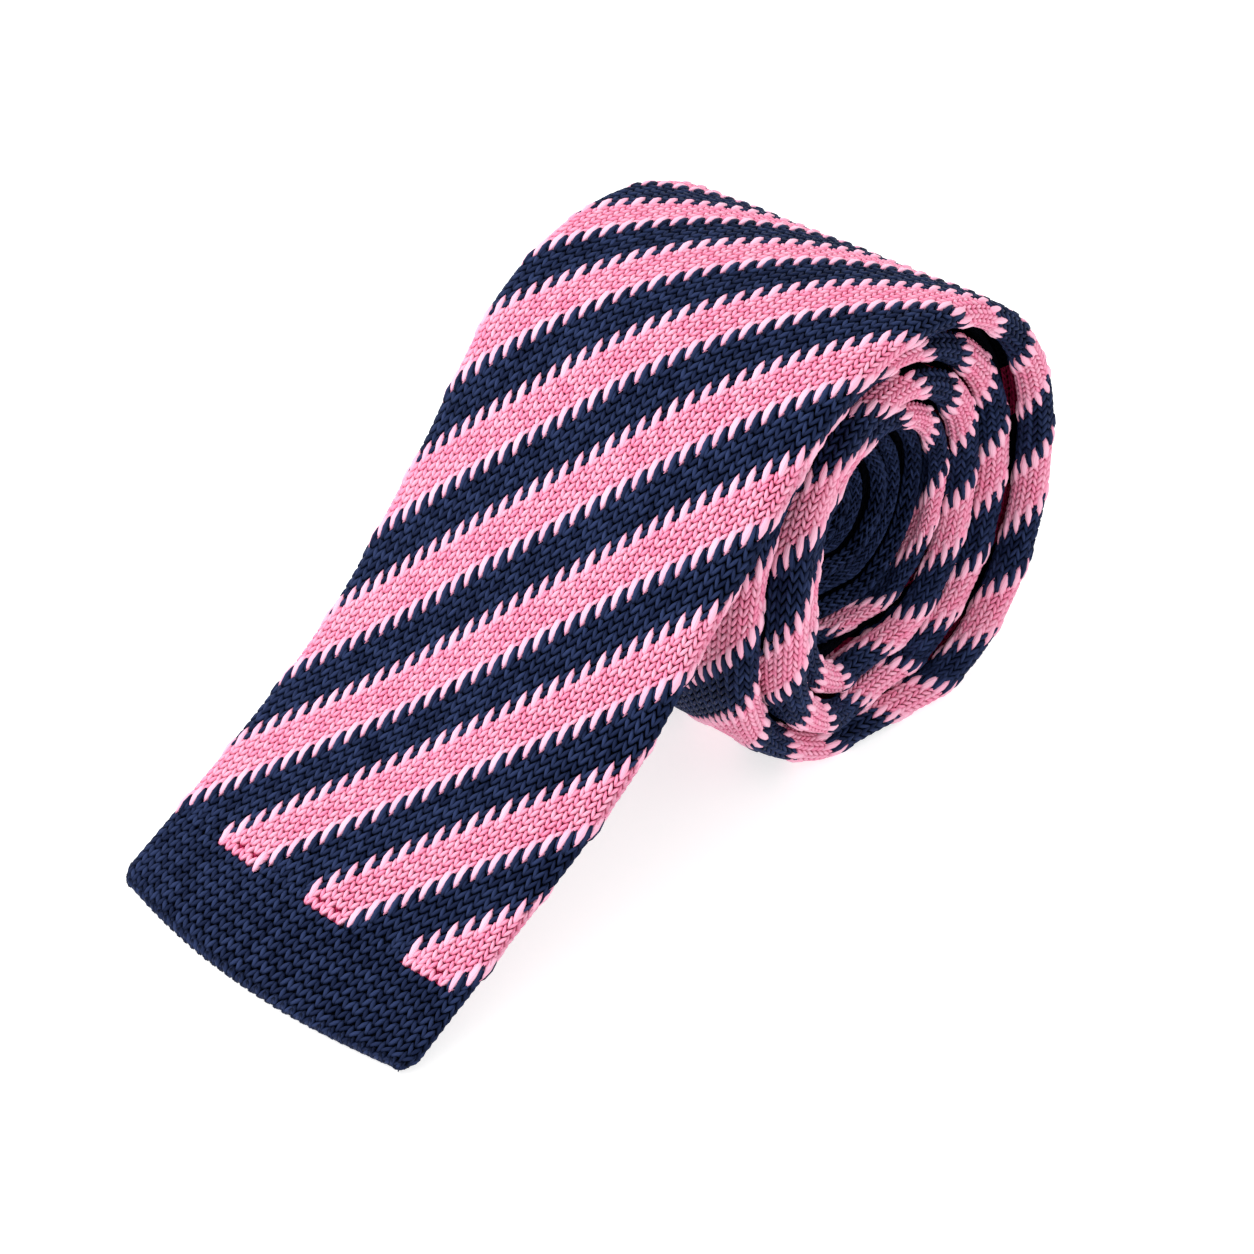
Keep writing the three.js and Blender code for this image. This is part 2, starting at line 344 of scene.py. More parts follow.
def section_outline(s, path, i, columns):
    """(across, out) at even steps round the tube, from the middle of its front face."""
    half = path.width[i] / 2
    edge = path.edge[i]
    rounding = edge / 2
    root = max(path.room[i], 0.6 * edge)
    bulge = (rounding + root) / 2
    arc = np.linspace(math.pi / 2, -math.pi / 2, 21)
    near_x = np.concatenate(
        [half - rounding + rounding * np.cos(arc), [half - bulge, half - root]]
    )
    near_out = np.concatenate(
        [-rounding + rounding * np.sin(arc), [-edge, -s.band_thickness]]
    )
    across = np.concatenate([[0.0], near_x, [0.0], -near_x[::-1], [0.0]])
    out = np.concatenate([[0.0], near_out, [-s.band_thickness], near_out[::-1], [0.0]])
    run = run_length(np.stack([across, out], axis=-1))
    even = np.arange(columns) / columns * run[-1]
    across = np.interp(even, run, across)
    out = np.interp(even, run, out)
    for _ in range(2):
        across = (np.roll(across, 1) + 2 * across + np.roll(across, -1)) / 4
        out = (np.roll(out, 1) + 2 * out + np.roll(out, -1)) / 4
    out = out - path.crown[i] * path.width[i] * (across / half) ** 2
    return across, out


def face_grid(s, path, columns=144):
    """The band's outer face: positions, normals and directions at rows along the band."""
    tip_rows = np.array([0.0, 0.00004, 0.0001, 0.0002, 0.00035, 0.0005, 0.0007, 0.0009])
    rows = np.concatenate([tip_rows, np.arange(0.0012, path.length, 0.001)])
    way = np.gradient(path.points, path.s, axis=0)
    way /= np.linalg.norm(way, axis=1)[:, None]
    at = np.clip(np.searchsorted(path.s, rows), 0, len(path.s) - 1)
    y, z = (np.interp(rows, path.s, path.points[:, k]) for k in (0, 1))
    way_y, way_z = (np.interp(rows, path.s, way[:, k]) for k in (0, 1))
    outlines = [section_outline(s, path, i, columns) for i in at]
    across = np.array([o[0] for o in outlines])
    out = np.array([o[1] for o in outlines])
    thinned = np.clip(1 - rows / s.tip_round, 0.0, 1.0)
    slim = np.sqrt(1 - thinned**2)[:, None]
    middle = -s.band_thickness / 2
    out = middle + (out - middle) * slim
    rise = np.clip(rows / SWAY_RISE, 0.0, 1.0)
    fade = rise * np.clip((SWAY_END - rows) / SWAY_FALL, 0.0, 1.0)
    slanting = np.sin(across * WAVES_ACROSS + WAVE_STARTS[0] + rows[:, None] * WAVES_SLANTED)
    wave = slanting * np.sin(rows[:, None] * WAVES_ALONG + WAVE_STARTS[1])
    out = out + s.sway * fade[:, None] * wave
    half = path.width[at][:, None] / 2
    bow = s.tip_bow * np.clip(1 - rows / s.tip_bow_reach, 0.0, 1.0)[:, None] ** 2
    ahead = bow * (1 - (across / half) ** 2)
    grid = SimpleNamespace(rows=rows, columns=columns)
    grid.points = np.stack(
        [
            s.blade_centre_x + path.centre[at][:, None] + across,
            s.tip_y + y[:, None] - out * way_z[:, None] - ahead,
            z[:, None] + out * way_y[:, None],
        ],
        axis=-1,
    )
    along = np.gradient(grid.points, rows, axis=0)
    around = np.roll(grid.points, -1, axis=1) - np.roll(grid.points, 1, axis=1)
    grid.normals = unit(np.cross(around, along))
    grid.along = unit(along)
    grid.width_per_share = np.linalg.norm(around, axis=-1) * columns / 2
    return grid


def unit(vectors):
    """Vectors of length one."""
    return vectors / np.maximum(np.linalg.norm(vectors, axis=-1, keepdims=True), 1e-12)


def read_grid(grid, field, rows, around):
    """A field of the grid at lengths along the band and shares round the tube."""
    i = np.clip(np.searchsorted(grid.rows, rows, side="right") - 1, 0, len(grid.rows) - 2)
    a = (rows - grid.rows[i]) / (grid.rows[i + 1] - grid.rows[i])
    column = np.mod(around, 1.0) * grid.columns
    k = np.floor(column).astype(int) % grid.columns
    b = column - np.floor(column)
    after = (k + 1) % grid.columns
    if field.ndim == 3:
        a, b = a[:, None], b[:, None]
    low = field[i, k] * (1 - b) + field[i, after] * b
    high = field[i + 1, k] * (1 - b) + field[i + 1, after] * b
    return low * (1 - a) + high * a


# Lengths along the band at which the knitting's stretch stops growing and at which it is nil.
STRETCH_END = 0.11
STRETCH_MIDDLE = 0.06


def knit_length(s, rows):
    """Length of knitting before it was stretched, for lengths along the band."""
    return rows * (1 - s.stretch * (np.minimum(rows, STRETCH_END) - STRETCH_MIDDLE))


def stripe_climb(s, around):
    """How far the stripes have climbed at shares round the tube."""
    signed = np.mod(around + 0.5, 1.0) - 0.5
    return s.stripe_turns * s.stripe_pitch * signed + s.stripe_bow * np.sin(FULL_TURN * signed)


# Kinds of stitch. For each kind: how many times wider than a plain leg its leg is, and how far
# it lies beside the middle of its wale, as a share of the wale. A plain stitch has two legs.
PLAIN, UPPER_TOOTH, LOWER_TOOTH, NAVY_TOOTH = range(4)
LEG_WIDTHS = np.array((1.0, 1.80, 2.15, 1.25))
LEG_PLACES = np.array((0.25, -0.16, 0.04, 0.5))

# Lean of a lower tooth as a share of the others', height of a tooth against a plain leg, how
# far a plain leg tips inwards, and how deep each sinks into the cloth.
LOWER_SLANT = 0.5
TOOTH_HEIGHT = 1.1
LEG_TILT = 0.10
PLAIN_SINK = 0.00038
TOOTH_SINK = 0.00014

# Rows kept clear above the hem's first row for plain stitches and for teeth, and the widest gap
# left there, all as shares of a row.
PLAIN_ROOM = 0.7
TOOTH_ROOM = 0.3
WIDEST_GAP = 1.4

# Where the hem's rows stop, and the two rows that close the tip, from the tip.
HEM_STOP = 0.0005
CAP_ROWS = (0.00035, 0.00008)

# Stitches that are laid: those less than this far under the turn outside them, those in a band
# at each edge as a share of the way round the tube, up to a turn, and all of the outer turn.
SEEN_MARGIN = 0.0022
EDGE_BAND = 0.034
LAST_EDGE_TURN = 4.6
OUTER_TURN = 0.9


def wale_stitches(s, around, last):
    """Knitted length, kind, colour and row length of every stitch of one wale past the hem."""
    base = s.stripe_start + stripe_climb(s, around)
    first_repeat = math.floor((s.hem - base) / s.stripe_pitch) - 1
    last_repeat = math.ceil((last - base) / s.stripe_pitch) + 1
    pink_at = (np.arange(s.pink_rows) + 0.5) * s.pink_course
    navy_at = s.pink_length + (np.arange(s.navy_rows) + 0.5) * s.navy_course
    one = [(q, PLAIN, True, s.pink_course) for q in pink_at]
    one += [(q, PLAIN, False, s.navy_course) for q in navy_at]
    one += [
        (s.pink_length + s.tooth_past - s.tooth_length / 2, UPPER_TOOTH, True, s.pink_course),
        (-s.tooth_past + s.tooth_length / 2, LOWER_TOOTH, True, s.pink_course),
        (0.0, NAVY_TOOTH, False, s.navy_course),
    ]
    start = s.hem + s.pink_course / 2
    listed = []
    for repeat in range(first_repeat, last_repeat):
        for q, kind, pink, course in one:
            at = base + repeat * s.stripe_pitch + q
            room = course * (PLAIN_ROOM if kind == PLAIN else TOOTH_ROOM)
            if start + room < at < last:
                listed.append((at, kind, pink, course))
    after = min(at for at, kind, _, _ in listed if kind == PLAIN)
    one_row = after - start < WIDEST_GAP * s.pink_course
    between = [start] if one_row else [start, (start + after) / 2]
    for at in between:
        pink = (at - base) % s.stripe_pitch < s.pink_length
        listed.append((at, PLAIN, pink, s.pink_course))
    return listed


def stitch_places(s, path, grid):
    """Every stitch that can be seen: length along the band, share round the tube and kind."""
    table_rows = np.linspace(0.0, path.length, 4000)
    table_knit = knit_length(s, table_rows)
    last = float(knit_length(s, path.wide_length))
    found = []
    for wale in range(s.wales):
        around = (wale + 0.5) / s.wales
        for q, kind, pink, course in wale_stitches(s, around, last):
            row = float(np.interp(q, table_knit, table_rows))
            if row > s.stripes_end:
                pink = False
                if kind != PLAIN:
                    continue
            found.append((row, around, kind, pink, course, s.wales))
    hem_end = float(np.interp(s.hem, table_knit, table_rows))
    hem_rows = np.arange(hem_end - s.hem_course / 2, HEM_STOP, -s.hem_course)
    for row in (*hem_rows, *CAP_ROWS):
        for wale in range(s.hem_wales):
            around = (wale + 0.5) / s.hem_wales
            found.append((row, around, PLAIN, False, s.hem_course, s.hem_wales))
    core = np.flatnonzero((path.s > path.wide_length) & (path.turn > s.core_turn))
    for row in np.arange(path.s[core[0]], path.s[core[-1]], s.navy_course):
        for wale in range(s.wales):
            around = (wale + 0.5) / s.wales
            if abs(abs(around - 0.5) - 0.25) < EDGE_BAND:
                found.append((row, around, PLAIN, False, s.navy_course, s.wales))
    found = np.array(found)
    seen = seen_stitches(s, path, grid, found[:, 0], found[:, 1])
    return found[seen]


def edge_line(path, turn, sign):
    """X of the wide half's near or far edge at a turn, from the blade's centre line."""
    wound = (path.half == 0) & (path.s > path.blade_length)
    x = path.centre[wound] + sign * path.width[wound] / 2
    return np.interp(turn, path.turn[wound], x)


def seen_stitches(s, path, grid, rows, around):
    """Which stitches can be seen, rather than lying between two turns of the roll."""
    signed = np.mod(around + 0.5, 1.0) - 0.5
    front = np.abs(signed) < 0.25
    sign = np.where(signed >= 0, 1.0, -1.0)
    turn = np.interp(rows, path.s, path.turn)
    x = read_grid(grid, grid.points, rows, around)[:, 0] - s.blade_centre_x
    seen = np.zeros(len(rows), dtype=bool)
    for side in (-1.0, 1.0):
        for facing, other in ((front, turn - 1), (~front, turn + 1)):
            past = (x - edge_line(path, other, side)) * side > -SEEN_MARGIN
            seen |= (sign == side) & facing & past
    under = (rows < path.blade_length) & ~front
    seen |= under | ((turn < OUTER_TURN) & front)
    edge_band = np.abs(np.abs(signed) - 0.25) < EDGE_BAND
    in_core = rows > path.wide_length
    return (seen & ~in_core) | (edge_band & ((turn < LAST_EDGE_TURN) | in_core))


def leg_frames(grid, rows, around, slant, tilt):
    """Position and axes of legs: the yarn's own direction, outwards, and across."""
    point = read_grid(grid, grid.points, rows, around)
    out = unit(read_grid(grid, grid.normals, rows, around))
    on = unit(read_grid(grid, grid.along, rows, around))
    on = unit(on - out * np.sum(on * out, axis=1, keepdims=True))
    over = np.cross(on, out)
    yarn = on * np.cos(slant)[:, None] + over * np.sin(slant)[:, None] - out * tilt
    yarn = unit(yarn)
    out = unit(out - yarn * np.sum(yarn * out, axis=1, keepdims=True))
    return point, np.stack([np.cross(out, yarn), out, yarn], axis=-1)


def euler_of(axes):
    """XYZ Euler angles of rotation matrices."""
    return np.stack(
        [
            np.arctan2(axes[:, 2, 1], axes[:, 2, 2]),
            -np.arcsin(np.clip(axes[:, 2, 0], -1.0, 1.0)),
            np.arctan2(axes[:, 1, 0], axes[:, 0, 0]),
        ],
        axis=-1,
    )


def make_legs(s, path, grid):
    """Every visible leg of yarn as arrays: place, lean, stretch, colour, kind and region."""
    rows, around, kind, pink, course, wales = stitch_places(s, path, grid).T
    plain = kind == PLAIN
    parts = []
    for side in (-1.0, 1.0):
        laid = plain | (side < 0)
        row, share, what, dye, step, count, even = [
            field[laid] for field in (rows, around, kind, pink, course, wales, plain)
        ]
        what = what.astype(int)
        beside = LEG_PLACES[what] * np.where(even, side, 1.0)
        slant = np.where(even, s.yarn_slant * side, -s.tooth_slant)
        slant = np.where(what == LOWER_TOOTH, LOWER_SLANT * slant, slant)
        tilt = np.where(even, LEG_TILT, 0.0)[:, None]
        at = np.clip(row, 0.0, path.length)
        point, axes = leg_frames(grid, at, share + beside / count, slant, tilt)
        down = what == LOWER_TOOTH
        axes[down] = axes[down] * (-1.0, 1.0, -1.0)
        point = point - axes[:, :, 1] * np.where(even, PLAIN_SINK, TOOTH_SINK)[:, None]
        wale_width = read_grid(grid, grid.width_per_share, row, share) / count
        stretch = np.stack(
            [
                wale_width / s.wale_width * LEG_WIDTHS[what],
                np.where(even, 1.0, TOOTH_HEIGHT),
                np.where(even, s.yarn_overlap * step, s.tooth_length) / s.pink_course,
            ],
            axis=-1,
        )
        parts.append((point, euler_of(axes), stretch, dye > 0.5, ~even, row, share))
    point, lean, stretch, pink, tooth, rows, around = [np.concatenate(p) for p in zip(*parts)]
    return SimpleNamespace(
        point=point, lean=lean, stretch=stretch, pink=pink, tooth=tooth,
        region=region_of(path, rows, around),
    )


# Regions of the tie, each of which has its own pieces, and those that the photograph shows.
REGIONS = ("blade_front", "roll_outer", "blade_back", "near_end", "far_end")
SEEN_REGIONS = ("blade_front", "roll_outer", "near_end")


def region_of(path, rows, around):
    """The region's index for each stitch."""
    signed = np.mod(around + 0.5, 1.0) - 0.5
    turn = np.interp(rows, path.s, path.turn)
    front = np.abs(signed) < 0.25
    return np.select(
        [
            front & (rows < path.blade_length),
            front & (turn < OUTER_TURN),
            rows < path.blade_length,
            signed >= 0,
        ],
        [0, 1, 2, 3],
        4,
    )


def add_mesh(name, points, faces):
    """A new object with a mesh made of points and faces."""
    mesh = bpy.data.meshes.new(name)
    mesh.from_pydata(points, [], faces)
    mesh.update()
    obj = bpy.data.objects.new(name, mesh)
    bpy.context.scene.collection.objects.link(obj)
    return obj


# How much the legs' sizes differ, as a share.
SIZE_SPREAD = 0.05

# Cross-section of a leg of yarn as (across, out), a simpler one for the sides turned away
# from the photograph, and the leg's size at places along it, blunt or pointed at its ends.
LEG_CORNERS = ((-0.5, -0.28), (-0.28, 0.38), (0.28, 0.38), (0.5, -0.28))
SIMPLE_CORNERS = ((-0.5, -0.28), (0.0, 0.45), (0.5, -0.28))
BLUNT_LEVELS = ((-0.38, 0.70), (0.02, 1.0), (0.40, 0.66))
POINTED_LEVELS = ((-0.34, 0.70), (0.02, 1.0), (0.30, 0.60))
LEG_SHAPES = (
    (BLUNT_LEVELS, LEG_CORNERS),
    (POINTED_LEVELS, LEG_CORNERS),
    (BLUNT_LEVELS, SIMPLE_CORNERS),
    (POINTED_LEVELS, SIMPLE_CORNERS),
)
FIRST_SIMPLE_SHAPE = 2


def leg_template(name, levels, corners):
    """One leg of yarn, one long, wide and high, lying along Z with Y outwards."""
    sides = len(corners)
    points = [(0.0, 0.0, -0.5)]
    for z, size in levels:
        points += [(x * size, y * size, z) for x, y in corners]
    points.append((0.0, 0.0, 0.5))
    faces = []
    top = len(points) - 1
    for k in range(sides):
        after = (k + 1) % sides
        faces.append((0, 1 + k, 1 + after))
        for level in range(len(levels) - 1):
            base = 1 + level * sides
            faces.append((base + k, base + sides + k, base + sides + after, base + after))
        base = 1 + (len(levels) - 1) * sides
        faces.append((top, base + after, base + k))
    obj = add_mesh(name, points, faces)
    mesh = obj.data
    mesh.shade_smooth()
    for key, axis, start in (("gone", 2, 0.5), ("across", 0, 0.0), ("raised", 1, 0.28)):
        layer = mesh.attributes.new(key, "FLOAT", "POINT")
        layer.data.foreach_set("value", [p[axis] + start for p in points])
    return obj


def yarn_tree():
    """Geometry Nodes tree that lays one leg of yarn on each point."""
    tree = bpy.data.node_groups.new("Yarn legs", "GeometryNodeTree")
    face = tree.interface
    for way in ("INPUT", "OUTPUT"):
        face.new_socket("Geometry", in_out=way, socket_type="NodeSocketGeometry")
    sockets = {}
    for name, kind in (
        ("Leg", "Object"),
        ("Width", "Float"),
        ("Height", "Float"),
        ("Length", "Float"),
        ("Size spread", "Float"),
        ("Seed", "Int"),
        ("Yarn", "Material"),
    ):
        item = face.new_socket(name, in_out="INPUT", socket_type="NodeSocket" + kind)
        sockets[name] = item.identifier

    def add(kind, **settings):
        node = tree.nodes.new(kind)
        for key, value in settings.items():
            setattr(node, key, value)
        return node

    def stored(name):
        node = add("GeometryNodeInputNamedAttribute", data_type="FLOAT_VECTOR")
        node.inputs["Name"].default_value = name
        return node.outputs["Attribute"]

    join = tree.links.new
    given = add("NodeGroupInput").outputs
    turned = add("FunctionNodeEulerToRotation")
    join(stored("lean"), turned.inputs[0])
    size = add("ShaderNodeCombineXYZ")
    for axis, name in (("X", "Width"), ("Y", "Height"), ("Z", "Length")):
        join(given[name], size.inputs[axis])
    scaled = add("ShaderNodeVectorMath", operation="MULTIPLY")
    join(stored("stretch"), scaled.inputs[0])
    join(size.outputs[0], scaled.inputs[1])

    spread = add("FunctionNodeRandomValue", data_type="FLOAT")
    for slot, operation in ((2, "SUBTRACT"), (3, "ADD")):
        limit = add("ShaderNodeMath", operation=operation)
        limit.inputs[0].default_value = 1.0
        join(given["Size spread"], limit.inputs[1])
        join(limit.outputs[0], spread.inputs[slot])
    join(given["Seed"], spread.inputs["Seed"])
    grown = add("ShaderNodeVectorMath", operation="SCALE")
    join(scaled.outputs[0], grown.inputs[0])
    join(spread.outputs[1], grown.inputs["Scale"])

    leg = add("GeometryNodeObjectInfo")
    join(given["Leg"], leg.inputs["Object"])
    place = add("GeometryNodeInstanceOnPoints")
    join(given["Geometry"], place.inputs["Points"])
    join(leg.outputs["Geometry"], place.inputs["Instance"])
    join(turned.outputs[0], place.inputs["Rotation"])
    join(grown.outputs[0], place.inputs["Scale"])

    tone = add("FunctionNodeRandomValue", data_type="FLOAT")
    join(given["Seed"], tone.inputs["Seed"])
    keep = add("GeometryNodeStoreNamedAttribute", data_type="FLOAT", domain="INSTANCE")
    keep.inputs["Name"].default_value = "tone"
    join(place.outputs["Instances"], keep.inputs["Geometry"])
    join(tone.outputs[1], keep.inputs["Value"])
    realize = add("GeometryNodeRealizeInstances")
    join(keep.outputs[0], realize.inputs[0])
    paint = add("GeometryNodeSetMaterial")
    join(realize.outputs[0], paint.inputs["Geometry"])
    join(given["Yarn"], paint.inputs["Material"])
    join(paint.outputs[0], add("NodeGroupOutput").inputs[0])
    return tree, sockets


def lay_yarn(name, legs, chosen, template, tree, sockets, settings):
    """One piece made of the chosen legs of yarn, as a plain mesh."""
    source = add_mesh(name + "_points", legs.point[chosen], [])
    for key, values in (("lean", legs.lean), ("stretch", legs.stretch)):
        layer = source.data.attributes.new(key, "FLOAT_VECTOR", "POINT")
        layer.data.foreach_set("vector", values[chosen].astype(np.float32).ravel())
    modifier = source.modifiers.new("Yarn legs", "NODES")
    modifier.node_group = tree
    modifier[sockets["Leg"]] = template
    for key, value in settings.items():
        modifier[sockets[key]] = value
    bpy.context.view_layer.update()
    graph = bpy.context.evaluated_depsgraph_get()
    mesh = bpy.data.meshes.new_from_object(source.evaluated_get(graph))
    bpy.data.objects.remove(source)
    for key in ("lean", "stretch"):
        if key in mesh.attributes:
            mesh.attributes.remove(mesh.attributes[key])
    mesh.name = name
    piece = bpy.data.objects.new(name, mesh)
    bpy.context.scene.collection.objects.link(piece)
    return piece


def new_material(name):
    """A material with an emptied node tree: its nodes, links and shader."""
    material = bpy.data.materials.new(name)
    material.use_nodes = True
    nodes, links = material.node_tree.nodes, material.node_tree.links
    nodes.clear()
    shader = nodes.new("ShaderNodeBsdfPrincipled")
    output = nodes.new("ShaderNodeOutputMaterial")
    links.new(shader.outputs[0], output.inputs["Surface"])
    return material, nodes, links, shader


def math_node(nodes, links, operation, first, second=None, third=None):
    """A maths node, whose inputs are numbers or sockets."""
    node = nodes.new("ShaderNodeMath")
    node.operation = operation
    for slot, value in enumerate((first, second, third)):
        if value is None:
            continue
        if isinstance(value, (int, float)):
            node.inputs[slot].default_value = value
        else:
            links.new(value, node.inputs[slot])
    return node.outputs[0]


def mix_colours(nodes, links, factor, first, second):
    """A colour mix, whose inputs are colours or sockets."""
    node = nodes.new("ShaderNodeMix")
    node.data_type = "RGBA"
    for slot, value in ((0, factor), (6, first), (7, second)):
        if isinstance(value, (int, float)):
            node.inputs[slot].default_value = value
        elif isinstance(value, bpy.types.NodeSocket):
            links.new(value, node.inputs[slot])
        else:
            node.inputs[slot].default_value = (*value, 1.0)
    return node.outputs[2]


def attribute(nodes, name):
    """The value of a mesh attribute."""
    node = nodes.new("ShaderNodeAttribute")
    node.attribute_name = name
    return node.outputs["Fac"]


def ramp(nodes, links, value, low, high, floor, shape):
    """A value turned into a share that climbs from a floor to 1 between two values."""
    node = nodes.new("ShaderNodeMapRange")
    node.interpolation_type = shape
    links.new(value, node.inputs["Value"])
    for name, number in (("From Min", low), ("From Max", high), ("To Min", floor)):
        node.inputs[name].default_value = number
    return node.outputs[0]


# Filaments across a leg of yarn, and how many of them its twist crosses along its length.
FILAMENTS = 5.0
FILAMENT_TWIST = 2.0

# Share of a leg over which painted shade darkens its ends, and the heights between which the
# painted shade on its sunken sides gives way and it grows pale.
END_SHADE_REACH = 0.30
RAISED_LOW = 0.1
RAISED_HIGH = 0.62


def yarn_material(name, dark, light, ground, gloss, body_share_in_shade):
    """Satiny yarn with fine filaments and painted shade: mixed towards the shade colour given as
    ground at its ends and where it sinks in, so paler where it stands up.
    """
    material, nodes, links, shader = new_material(name)
    calculate = partial(math_node, nodes, links)
    gone, across = attribute(nodes, "gone"), attribute(nodes, "across")
    body = mix_colours(nodes, links, attribute(nodes, "tone"), tuple(dark), tuple(light))
    # Painted shade at both ends of each leg and on its sunken sides: the yarn's colour is mixed
    # towards the ground colour, which stands for the shade.
    nearer = calculate("MINIMUM", gone, calculate("SUBTRACT", 1.0, gone))
    clear = ramp(nodes, links, nearer, 0.0, END_SHADE_REACH, body_share_in_shade, "SMOOTHSTEP")
    raised = attribute(nodes, "raised")
    lifted = ramp(nodes, links, raised, RAISED_LOW, RAISED_HIGH, body_share_in_shade, "LINEAR")
    unshaded_share = calculate("MULTIPLY", clear, lifted)
    shaded = mix_colours(nodes, links, unshaded_share, tuple(ground), body)
    links.new(shaded, shader.inputs["Base Color"])
    wound = calculate("MULTIPLY", across, FILAMENTS)
    drawn = calculate("MULTIPLY", gone, FILAMENT_TWIST)
    strand = calculate("ADD", wound, drawn)
    ripple = calculate("SINE", calculate("MULTIPLY", strand, FULL_TURN))
    bump = nodes.new("ShaderNodeBump")
    bump.inputs["Strength"].default_value = 0.35
    bump.inputs["Distance"].default_value = 0.00005
    links.new(ripple, bump.inputs["Height"])
    links.new(bump.outputs[0], shader.inputs["Normal"])
    shader.inputs["Roughness"].default_value = 0.52
    shader.inputs["Specular IOR Level"].default_value = gloss
    return material


def ground_shade_material(s, colours):
    """Ground cloth under the yarn, in navy and pink darkened as painted shade in the holes
    between stitches: its stripes and rows of stitches come from its UV map.
    """
    material, nodes, links, shader = new_material("ground_cloth_shade")
    calculate = partial(math_node, nodes, links)
    uv = nodes.new("ShaderNodeUVMap")
    uv.uv_map = "knit"
    split = nodes.new("ShaderNodeSeparateXYZ")
    links.new(uv.outputs[0], split.inputs[0])
    wale, course = split.outputs["X"], split.outputs["Y"]
    repeats = calculate("MULTIPLY", wale, s.stripe_turns / s.wales)
    rise = calculate("MULTIPLY", course, s.pink_course / s.stripe_pitch)
    round_tube = calculate("MULTIPLY", wale, FULL_TURN / s.wales)
    bent = calculate("MULTIPLY", calculate("SINE", round_tube), s.stripe_bow / s.stripe_pitch)
    place = calculate("SUBTRACT", rise, repeats)
    place = calculate("SUBTRACT", place, bent)
    place = calculate("SUBTRACT", place, s.stripe_start / s.stripe_pitch)
    place = calculate("FRACT", place)
    pink = calculate("LESS_THAN", place, s.pink_length / s.stripe_pitch)
    past_hem = calculate("GREATER_THAN", course, s.hem / s.pink_course)
    last_course = float(knit_length(s, s.stripes_end)) / s.pink_course
    before_neck = calculate("LESS_THAN", course, last_course)
    pink = calculate("MULTIPLY", pink, past_hem)
    pink = calculate("MULTIPLY", pink, before_neck)
    # Painted shade: the stripes take the two ground colours, navy and pink darkened for the shade
    # between the legs of yarn.
    base = mix_colours(
        nodes, links, pink, tuple(colours.navy_ground_shade), tuple(colours.pink_ground_shade)
    )
    links.new(base, shader.inputs["Base Color"])
    over = calculate("SUBTRACT", calculate("FRACT", wale), 0.5)
    over = calculate("ABSOLUTE", over)
    lifted = calculate("SUBTRACT", course, over)
    rows = calculate("SINE", calculate("MULTIPLY", lifted, FULL_TURN))
    ribs = calculate("SINE", calculate("MULTIPLY", over, 2 * FULL_TURN))
    relief = calculate("MULTIPLY_ADD", ribs, 0.8, rows)
    bump = nodes.new("ShaderNodeBump")
    bump.inputs["Strength"].default_value = 0.7
    bump.inputs["Distance"].default_value = 0.0003
    links.new(relief, bump.inputs["Height"])
    links.new(bump.outputs[0], shader.inputs["Normal"])
    shader.inputs["Roughness"].default_value = 0.85
    shader.inputs["Specular IOR Level"].default_value = 0.05
    return material


def floor_material(colours):
    """Plain white floor, lit a little from within like a light table, for a soft shadow."""
    material, nodes, links, shader = new_material("white_floor")
    shader.inputs["Emission Color"].default_value = (1.0, 1.0, 1.0, 1.0)
    shader.inputs["Emission Strength"].default_value = 0.7
    shader.inputs["Base Color"].default_value = (*colours.floor, 1.0)
    shader.inputs["Roughness"].default_value = 0.9
    shader.inputs["Specular IOR Level"].default_value = 0.0
    return material


def settings_and_shape(scene):
    """Sizes, colours, the band's path and its outer face, as the scene's settings give them."""
    s = derive(scene.knit_tie_sizes)
    path = band_path(s)
    return s, scene.knit_tie_colours, path, face_grid(s, path)


def shell_columns(columns):
    """Columns of the grid that the ground cloth keeps: close at its edges, wide between."""
    quarter = columns // 4
    kept = set()
    for k in range(columns):
        near_edge = min(abs(k - quarter), abs(k - 3 * quarter))
        step = 2 if near_edge <= 10 else 7
        if near_edge % step == 0:
            kept.add(k)
    return sorted(kept)


# Rows of the ground cloth: the first two, then steps along the blade and round the roll.
FIRST_ROWS = (0.0006, 0.0012)
BLADE_STEP = 0.0025
SHORTEST_STEP = 0.0009
ROLL_STEP = math.radians(7.0)


